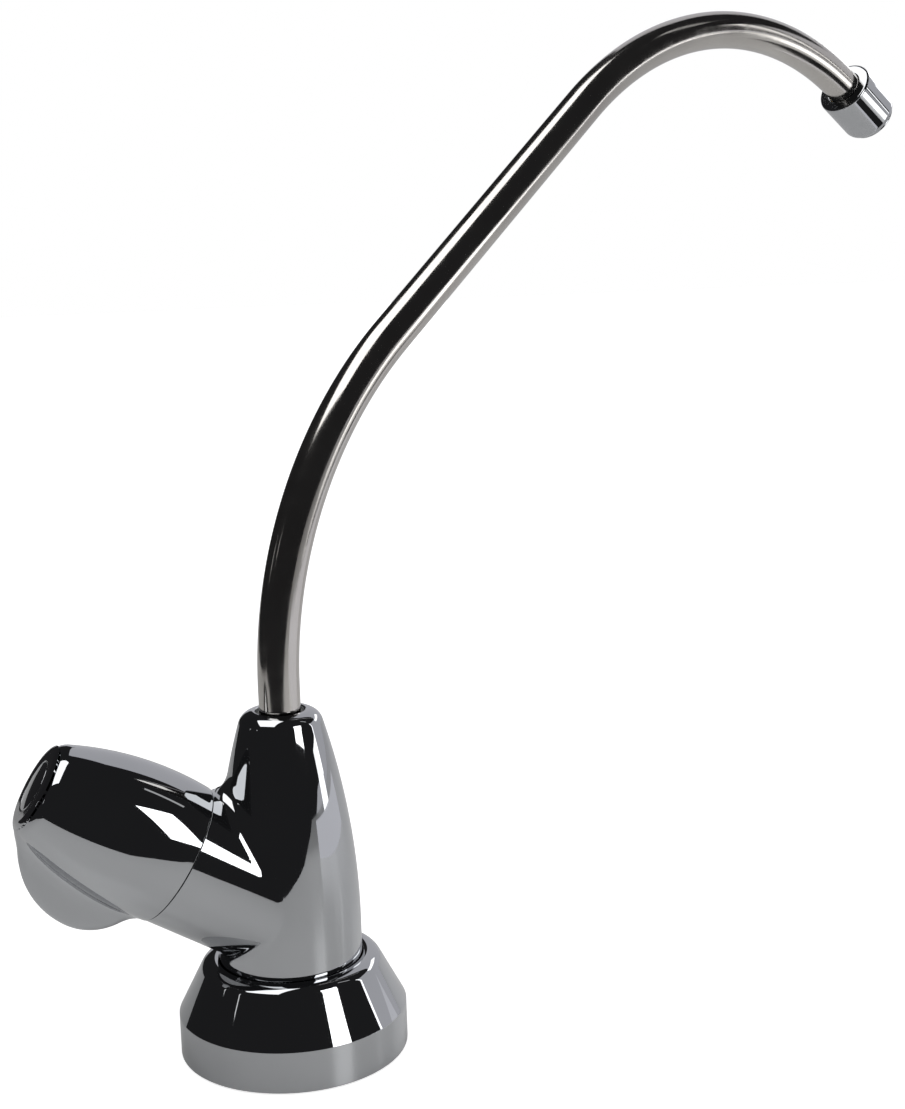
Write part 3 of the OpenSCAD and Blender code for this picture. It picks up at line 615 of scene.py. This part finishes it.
def in_spout_plane(flat):
    """Turns (outwards, up) into the frame's X, Y and Z."""
    angle = math.radians(SPOUT_REST)
    flat = np.array(flat)
    return np.stack([flat[..., 0] * math.cos(angle), flat[..., 0] * math.sin(angle), flat[..., 1]], axis=-1)


def tube():
    """Bent tube with its bore, and a small chamfer at each end."""
    places, headings = spout_path()
    middle = in_spout_plane(places)
    aside = in_spout_plane(np.stack([np.cos(headings), -np.sin(headings)], axis=-1))
    ahead = in_spout_plane(np.stack([np.sin(headings), np.cos(headings)], axis=-1))
    angles = np.linspace(0, 2 * math.pi, TUBE_STEPS, endpoint=False)
    last = len(middle) - 1
    outer_end, inner_end = TUBE_R - TUBE_CHAMFER, TUBE_BORE_R + TUBE_CHAMFER
    rows = [(i, TUBE_R, 1, 0.0) for i in range(len(middle))]
    rows += [(last, outer_end, 0, TUBE_CHAMFER), (last, inner_end, 0, TUBE_CHAMFER)]
    rows += [(i, TUBE_BORE_R, -1, 0.0) for i in reversed(range(len(middle)))]
    rows += [(0, inner_end, 0, -TUBE_CHAMFER), (0, outer_end, 0, -TUBE_CHAMFER)]
    verts, normals = [], []
    for i, radius, outward, shift in rows:
        across = np.cross(ahead[i], aside[i])
        ring = np.cos(angles)[:, None] * aside[i] + np.sin(angles)[:, None] * across
        flat = np.tile(np.sign(shift) * ahead[i], (TUBE_STEPS, 1))
        verts.append(middle[i] + shift * ahead[i] + radius * ring)
        normals.append(outward * ring if outward else flat)
    near = np.arange(len(rows) * TUBE_STEPS).reshape(len(rows), TUBE_STEPS)
    near_next = np.roll(near, -1, axis=1)
    far, far_next = np.roll(near, -1, axis=0), np.roll(near_next, -1, axis=0)
    faces = np.stack([near, near_next, far_next, far], axis=-1).reshape(-1, 4).tolist()
    return np.concatenate(verts), faces, np.concatenate(normals)


def outlet_place():
    """The outlet's top face and its direction."""
    places, headings = spout_path()
    heading = headings[-1]
    ahead = np.array([math.sin(heading), math.cos(heading)])
    return in_spout_plane(places[-1] - TUBE_END * ahead), in_spout_plane(ahead)


def aerator():
    """Outlet's shell, with a rounder edge at its mouth."""
    rows = rounded(
        [
            (TUBE_R + FIT_GAP, 0, SMALL_EDGE_R),
            (AERATOR_R, 0, AERATOR_TOP_EDGE_R),
            (AERATOR_R, AERATOR_LEN, AERATOR_LOW_EDGE_R),
            (AERATOR_BORE_R, AERATOR_LEN, SMALL_EDGE_R / 2),
            (AERATOR_BORE_R, AERATOR_TOP_T, SMALL_EDGE_R),
            (TUBE_R + FIT_GAP, AERATOR_TOP_T, SMALL_EDGE_R),
        ],
        closed=True,
    )
    return placed(turned(rows, closed=True), *outlet_place())


# Materials
NOISE_LOW, NOISE_HIGH = 0.3, 0.7
CLOUD_DETAIL = 3
SMEAR_SCALE, SMEAR_DETAIL = 4, 5
GRAIN_SCALE, GRAIN_DETAIL = 30, 2


def tree_of(name):
    """A new material with its node tree and its shader."""
    material = bpy.data.materials.new(name)
    material.use_nodes = True
    return material, material.node_tree, material.node_tree.nodes["Principled BSDF"]


def noise(tree, scale, detail, coordinates):
    node = tree.nodes.new("ShaderNodeTexNoise")
    node.inputs["Scale"].default_value = scale
    node.inputs["Detail"].default_value = detail
    tree.links.new(coordinates, node.inputs["Vector"])
    return node.outputs["Fac"]


def ranged(tree, value, low, high):
    """Spreads a texture's middle values over a range."""
    node = tree.nodes.new("ShaderNodeMapRange")
    node.inputs["From Min"].default_value = NOISE_LOW
    node.inputs["From Max"].default_value = NOISE_HIGH
    node.inputs["To Min"].default_value = low
    node.inputs["To Max"].default_value = high
    tree.links.new(value, node.inputs["Value"])
    return node.outputs["Result"]


def mixed(tree, value, dark, light):
    node = tree.nodes.new("ShaderNodeMix")
    node.data_type = "RGBA"
    node.inputs["A"].default_value = (*dark, 1)
    node.inputs["B"].default_value = (*light, 1)
    tree.links.new(value, node.inputs["Factor"])
    return node.outputs["Result"]


def bumped(tree, value, distance, strength):
    node = tree.nodes.new("ShaderNodeBump")
    node.inputs["Distance"].default_value = distance
    node.inputs["Strength"].default_value = strength
    tree.links.new(value, node.inputs["Height"])
    return node.outputs["Normal"]


def finish_of(name, dark, light, metallic, rough, scale, bump=(0.0, 0.0)):
    """A surface whose colour and gloss wander a little. rough is a range, scale is per metre."""
    material, tree, shader = tree_of(name)
    place = tree.nodes.new("ShaderNodeTexCoord").outputs["Object"]
    shader.inputs["Metallic"].default_value = metallic
    cloud = noise(tree, scale, CLOUD_DETAIL, place)
    tree.links.new(mixed(tree, ranged(tree, cloud, 0, 1), dark, light), shader.inputs["Base Color"])
    smear = noise(tree, scale * SMEAR_SCALE, SMEAR_DETAIL, place)
    tree.links.new(ranged(tree, smear, *rough), shader.inputs["Roughness"])
    if bump[1]:
        grain = noise(tree, scale * GRAIN_SCALE, GRAIN_DETAIL, place)
        tree.links.new(bumped(tree, grain, *bump), shader.inputs["Normal"])
    return material


# For each slot: its material's name, a darker and a lighter colour, how metallic it is, the range of its
# roughness, its texture's scale, and the distance in metres and the strength of its bump
FINISHES = {
    "chrome": ("chrome_plate", (0.5, 0.51, 0.525), (0.53, 0.54, 0.555), 1.0, (0.015, 0.045), 35.0),
    "stainless_tube": ("stainless_tube", (0.56, 0.535, 0.51), (0.62, 0.6, 0.57), 1.0, (0.09, 0.17), 60.0),
    "brass": (
        "turned_brass", (0.66, 0.45, 0.19), (0.74, 0.54, 0.26), 1.0, (0.18, 0.34), 120.0, (0.00002, 0.3),
    ),
    "rubber": (
        "black_rubber",
        (0.012, 0.012, 0.013), (0.03, 0.03, 0.032), 0.0, (0.55, 0.75), 200.0, (0.00005, 0.4),
    ),
    "white_plastic": (
        "white_acetal", (0.74, 0.74, 0.72), (0.82, 0.82, 0.8), 0.0, (0.32, 0.45), 90.0, (0.00002, 0.2),
    ),
    "ceramic": ("alumina_ceramic", (0.8, 0.78, 0.72), (0.86, 0.85, 0.8), 0.0, (0.12, 0.25), 110.0),
    "fibre": (
        "red_fibre", (0.25, 0.08, 0.045), (0.36, 0.13, 0.075), 0.0, (0.6, 0.8), 300.0, (0.00006, 0.6),
    ),
    "steel": (
        "bright_steel", (0.46, 0.46, 0.47), (0.55, 0.55, 0.56), 1.0, (0.18, 0.32), 140.0, (0.00001, 0.3),
    ),
}
SLOT_MATERIALS = {slot: finish_of(*finish) for slot, finish in FINISHES.items()}

for subpart in frame["record"]["subparts"]:
    for material_slot in frame["nodes"][subpart["node"]].material_slots:
        material_slot.material = SLOT_MATERIALS[subpart["material_slot"]]

make_piece("base_cover", base_cover(), "chrome", "tap_body", "base_escutcheon")
make_piece("tap_casting", body(), "chrome", "tap_body", "valve_body")
make_piece("knob_shell", knob(), "chrome", "handle", "handle_knob")
make_piece("knob_button", cap(), "chrome", "handle", "handle_cap")
make_piece("gooseneck", tube(), "stainless_tube", "spout", "spout_tube")
make_piece("outlet_shell", aerator(), "chrome", "spout", "aerator_housing")


# Camera at the photograph's viewing angle
CAMERA_PLACE = (-0.07827, -0.3824, 0.18793)
CAMERA_AZIMUTH, CAMERA_PITCH, CAMERA_ROLL = math.radians(-17.48), 0.184, -0.0277
FOCAL_PX, PHOTO_H_PX = 1764.4, 1109
SENSOR_H, CLIP_START = 36.0, 0.01


def photo_camera():
    data = bpy.data.cameras.new("photo_camera")
    data.sensor_fit = "VERTICAL"
    data.sensor_height = SENSOR_H
    data.lens = SENSOR_H * FOCAL_PX / PHOTO_H_PX
    data.clip_start = CLIP_START
    back = Vector((
        math.sin(CAMERA_AZIMUTH) * math.cos(CAMERA_PITCH),
        -math.cos(CAMERA_AZIMUTH) * math.cos(CAMERA_PITCH),
        math.sin(CAMERA_PITCH),
    ))
    right = Vector((0, 0, 1)).cross(back).normalized()
    up = back.cross(right)
    rolled_right = math.cos(CAMERA_ROLL) * right + math.sin(CAMERA_ROLL) * up
    rolled_up = math.cos(CAMERA_ROLL) * up - math.sin(CAMERA_ROLL) * right
    camera = bpy.data.objects.new("photo_camera", data)
    bpy.context.scene.collection.objects.link(camera)
    turn = Matrix((rolled_right, rolled_up, back)).transposed()
    camera.matrix_world = Matrix.Translation(CAMERA_PLACE) @ turn.to_4x4()
    bpy.context.scene.camera = camera


photo_camera()


# Stage: a pale floor in a white room, with lamps, and dark and grey cards that the polished metal mirrors.
# Places are in metres to the camera's right, to the front and up. Directions are in degrees to the right
# of the camera and above level, as seen from the tap.
CAMERA_BEARING = math.atan2(CAMERA_PLACE[0], -CAMERA_PLACE[1])
BLACK, WHITE, CARD_COLOUR = (0, 0, 0, 1), (1, 1, 1, 1), (0.95, 0.95, 1.0, 1)
WORLD_LIGHT = 0.45
FLOOR_HALF = 4.0
FLOOR_COLOUR = (0.58, 0.58, 0.58, 1)
FLOOR_ROUGHNESS = 0.28
FLOOR_GLOW, FLOOR_WHITE = 0.07, 0.76
DARK_LIGHT, GREY_LIGHT, WALL_LIGHT = 0.02, 0.6, 0.8

# Cloth all round: the dark cloth's rim as directions and heights, with the grey cloth below it
TENT_REACH = 2.4
TENT_STEPS, CLOTH_STEPS = 121, 24
TENT_FOOT, TENT_TOP = -0.5, 90.0
RIM_ASIDES = [-180, -168, -160, 58, 70, 90, 93, 122, 130, 140, 146, 180]
RIM_HEIGHTS = [20, 12, TENT_FOOT, TENT_FOOT, 3, 3.5, 28, 28, 35, 50, 57, 57]
FOLDS, FOLD_HALF_WIDTH = (103, 110), 0.7
FOLD_LOW, FOLD_TOP = 1, 29

# Edge of the pale paper on the floor, from the back on the left round to the right
STAGE_HALF = 2.6
PAPER_EDGE = [
    (-0.45, -STAGE_HALF),
    (-0.45, 0.19),
    (-0.02, 0.19),
    (0.04, 0.24),
    (0.1, 0.277),
    (0.168, 0.321),
    (0.25, 0.394),
    (0.381, 0.498),
    (0.611, 0.66),
    (1.12, 1.05),
    (STAGE_HALF, 2.2),
]
CARD_HEIGHT = 0.0006
MAT_RIGHT, MAT_FRONT = (0.3, 0.5), (-0.1, 0.2)
WALL_RIGHT, WALL_FRONT, WALL_UP = 0.29, (-0.14, 0.2), (0, 0.045)

# Where lamps that are placed by direction point, and how far off they are
LAMP_AIM, LAMP_DISTANCE = (0.0, 0.0, 0.055), 0.9
UPRIGHT = 0.99


def calculated(tree, operation, *values):
    """A math node of links and numbers."""
    node = tree.nodes.new("ShaderNodeMath")
    node.operation = operation
    for value, socket in zip(values, node.inputs):
        if isinstance(value, (int, float)):
            socket.default_value = value
        else:
            tree.links.new(value, socket)
    return node.outputs[0]


def seen_rays(tree):
    """Two links: 1 for rays from the camera, metal or glass, and 1 for rays from the camera alone."""
    path = tree.nodes.new("ShaderNodeLightPath")
    straight, glossy = path.outputs["Is Camera Ray"], path.outputs["Is Glossy Ray"]
    mirrored = calculated(tree, "MAXIMUM", glossy, path.outputs["Is Transmission Ray"])
    return calculated(tree, "MAXIMUM", straight, mirrored), straight


def white_world():
    """White to the eye and in mirrors, and plain light otherwise."""
    world = bpy.data.worlds.new("white_room")
    world.use_nodes = True
    tree = world.node_tree
    light = tree.nodes["Background"]
    light.inputs["Color"].default_value = WHITE
    seen, _ = seen_rays(tree)
    tree.links.new(calculated(tree, "MAXIMUM", seen, WORLD_LIGHT), light.inputs["Strength"])
    bpy.context.scene.world = world


def stage_mesh(name, verts, faces, material):
    mesh = bpy.data.meshes.new(name)
    mesh.from_pydata(verts, [], faces)
    mesh.materials.append(material)
    made = bpy.data.objects.new(name, mesh)
    bpy.context.scene.collection.objects.link(made)
    return made


def corners_of(across, along):
    """Corners of a rectangle from its two ranges."""
    return [(across[0], along[0]), (across[1], along[0]), (across[1], along[1]), (across[0], along[1])]


def pale_floor():
    """Floor that keeps the shadow, and glows up to white for the camera."""
    material, tree, shader = tree_of("pale_floor")
    shader.inputs["Base Color"].default_value = FLOOR_COLOUR
    shader.inputs["Roughness"].default_value = FLOOR_ROUGHNESS
    shader.inputs["Emission Color"].default_value = WHITE
    seen, straight = seen_rays(tree)
    glow = calculated(tree, "MULTIPLY", seen, FLOOR_GLOW)
    white = calculated(tree, "MULTIPLY", straight, FLOOR_WHITE)
    tree.links.new(calculated(tree, "ADD", glow, white), shader.inputs["Emission Strength"])
    reach = (-FLOOR_HALF, FLOOR_HALF)
    stage_mesh("floor", [(x, y, 0) for x, y in corners_of(reach, reach)], [(0, 1, 2, 3)], material)


def stage_way(aside, rise):
    """Unit vector of a direction."""
    bearing = CAMERA_BEARING + math.radians(aside)
    level = math.cos(math.radians(rise))
    return Vector((math.sin(bearing) * level, -math.cos(bearing) * level, math.sin(math.radians(rise))))


def stage_point(right, front, up=0.0):
    """A place in the frame's axes."""
    return right * stage_way(90, 0) + front * stage_way(0, 0) + Vector((0, 0, up))


def card(name, verts, faces, light):
    """A plain card that only mirrors and glass see."""
    material, _, shader = tree_of(name)
    shader.inputs["Base Color"].default_value = BLACK
    shader.inputs["Specular IOR Level"].default_value = 0.0
    shader.inputs["Emission Color"].default_value = CARD_COLOUR
    shader.inputs["Emission Strength"].default_value = light
    made = stage_mesh(name, verts, faces, material)
    made.visible_camera = False
    made.visible_diffuse = False
    made.visible_shadow = False


def cloth(name, asides, lows, highs, light):
    """Cloth round the tap between two heights for each direction."""
    verts = [
        TENT_REACH * stage_way(aside, low + (high - low) * share)
        for aside, low, high in zip(asides, lows, highs)
        for share in np.linspace(0, 1, CLOTH_STEPS)
    ]
    index = np.arange(len(verts)).reshape(len(asides), CLOTH_STEPS)
    corners = [index[:-1, :-1], index[1:, :-1], index[1:, 1:], index[:-1, 1:]]
    card(name, verts, np.stack(corners, axis=-1).reshape(-1, 4).tolist(), light)


def tent():
    """Dark cloth all round and overhead, over grey cloth that rises from the right to the back."""
    asides = np.linspace(-180, 180, TENT_STEPS)
    rims = np.interp(asides, RIM_ASIDES, RIM_HEIGHTS)
    cloth("dark_cloth", asides, rims, np.full(TENT_STEPS, TENT_TOP), DARK_LIGHT)
    cloth("grey_cloth", asides, np.minimum(TENT_FOOT, rims), rims, GREY_LIGHT)
    for fold in FOLDS:
        edges = [fold - FOLD_HALF_WIDTH, fold + FOLD_HALF_WIDTH]
        cloth("cloth_fold", edges, [FOLD_LOW] * 2, [FOLD_TOP] * 2, DARK_LIGHT)


def floor_cards():
    """Dark cards round the pale paper and on its right, and a low pale wall by the latter."""
    apron = [*PAPER_EDGE, (STAGE_HALF, STAGE_HALF), (-STAGE_HALF, STAGE_HALF), (-STAGE_HALF, -STAGE_HALF)]
    for name, edge in (("dark_apron", apron), ("dark_mat", corners_of(MAT_RIGHT, MAT_FRONT))):
        verts = [stage_point(right, front, CARD_HEIGHT) for right, front in edge]
        card(name, verts, [tuple(range(len(edge)))], DARK_LIGHT)
    wall = [stage_point(WALL_RIGHT, front, up) for front, up in corners_of(WALL_FRONT, WALL_UP)]
    card("low_wall", wall, [(0, 1, 2, 3)], WALL_LIGHT)


def lamp(name, place, size, strength, aim, roll=0.0):
    """A softbox at a place, which faces the aim. Its roll is in degrees."""
    data = bpy.data.lights.new(name, "AREA")
    data.shape = "RECTANGLE"
    data.size, data.size_y = size
    data.energy = strength * math.pi * size[0] * size[1]
    made = bpy.data.objects.new(name, data)
    bpy.context.scene.collection.objects.link(made)
    back = (stage_point(*place) - stage_point(*aim)).normalized()
    right = stage_way(90, 0) if abs(back.z) > UPRIGHT else Vector(UP).cross(back).normalized()
    turn = Matrix((right, back.cross(right), back)).transposed()
    turn = turn @ Matrix.Rotation(math.radians(roll), 3, "Z")
    made.matrix_world = Matrix.Translation(stage_point(*place)) @ turn.to_4x4()
    made.visible_camera = False
    return made


def lamp_at(name, aside, rise, size, strength, distance=LAMP_DISTANCE, roll=0.0):
    """A softbox in a direction from the tap, with its width and height in degrees."""
    level = distance * math.cos(math.radians(rise))
    place = (
        LAMP_AIM[0] + level * math.sin(math.radians(aside)),
        LAMP_AIM[1] + level * math.cos(math.radians(aside)),
        LAMP_AIM[2] + distance * math.sin(math.radians(rise)),
    )
    size = [2 * distance * math.tan(math.radians(s / 2)) for s in size]
    return lamp(name, place, size, strength, LAMP_AIM, roll)


def flagged(made, piece):
    """Keeps a lamp's light off a piece, as a flag beside the lamp does."""
    shaded = bpy.data.collections.new(made.name + "_flag")
    shaded.objects.link(bpy.data.objects[piece])
    shaded.collection_objects[0].light_linking.link_state = "EXCLUDE"
    made.light_linking.receiver_collection = shaded


def lamps():
    right_softbox = lamp_at(
        "right_softbox", aside=48.6, rise=28.8, size=(18.5, 30.5), strength=4.0, distance=0.45, roll=-12,
    )
    flagged(right_softbox, "gooseneck")
    lamp(
        "top_softbox",
        place=(-0.66, 0.07, 1.6), size=(1.15, 1.45), strength=2.0, aim=(-0.66, 0.07, 0.0), roll=-25,
    )
    lamp(
        "right_reflector",
        place=(0.66, 0.07, 0.075), size=(0.16, 0.14), strength=2.0, aim=(0.0, 0.0, 0.075),
    )
    lamp_at("right_strip", aside=91.8, rise=15, size=(2.2, 28), strength=2.0)
    lamp_at("back_strip", aside=94.5, rise=50, size=(3, 14), strength=0.6)
    lamp(
        "back_softbox",
        place=(0.5, -0.45, 0.33), size=(0.36, 0.1), strength=2.0, aim=(0.18, -0.12, 0.215),
    )
    lamp_at("left_strip", aside=-91, rise=15.5, size=(1.5, 6), strength=1.2)
    lamp_at("left_strip_near", aside=-69, rise=21, size=(1.2, 6), strength=1.0)


white_world()
pale_floor()
tent()
floor_cards()
lamps()

bpy.context.scene.view_settings.view_transform = "Standard"
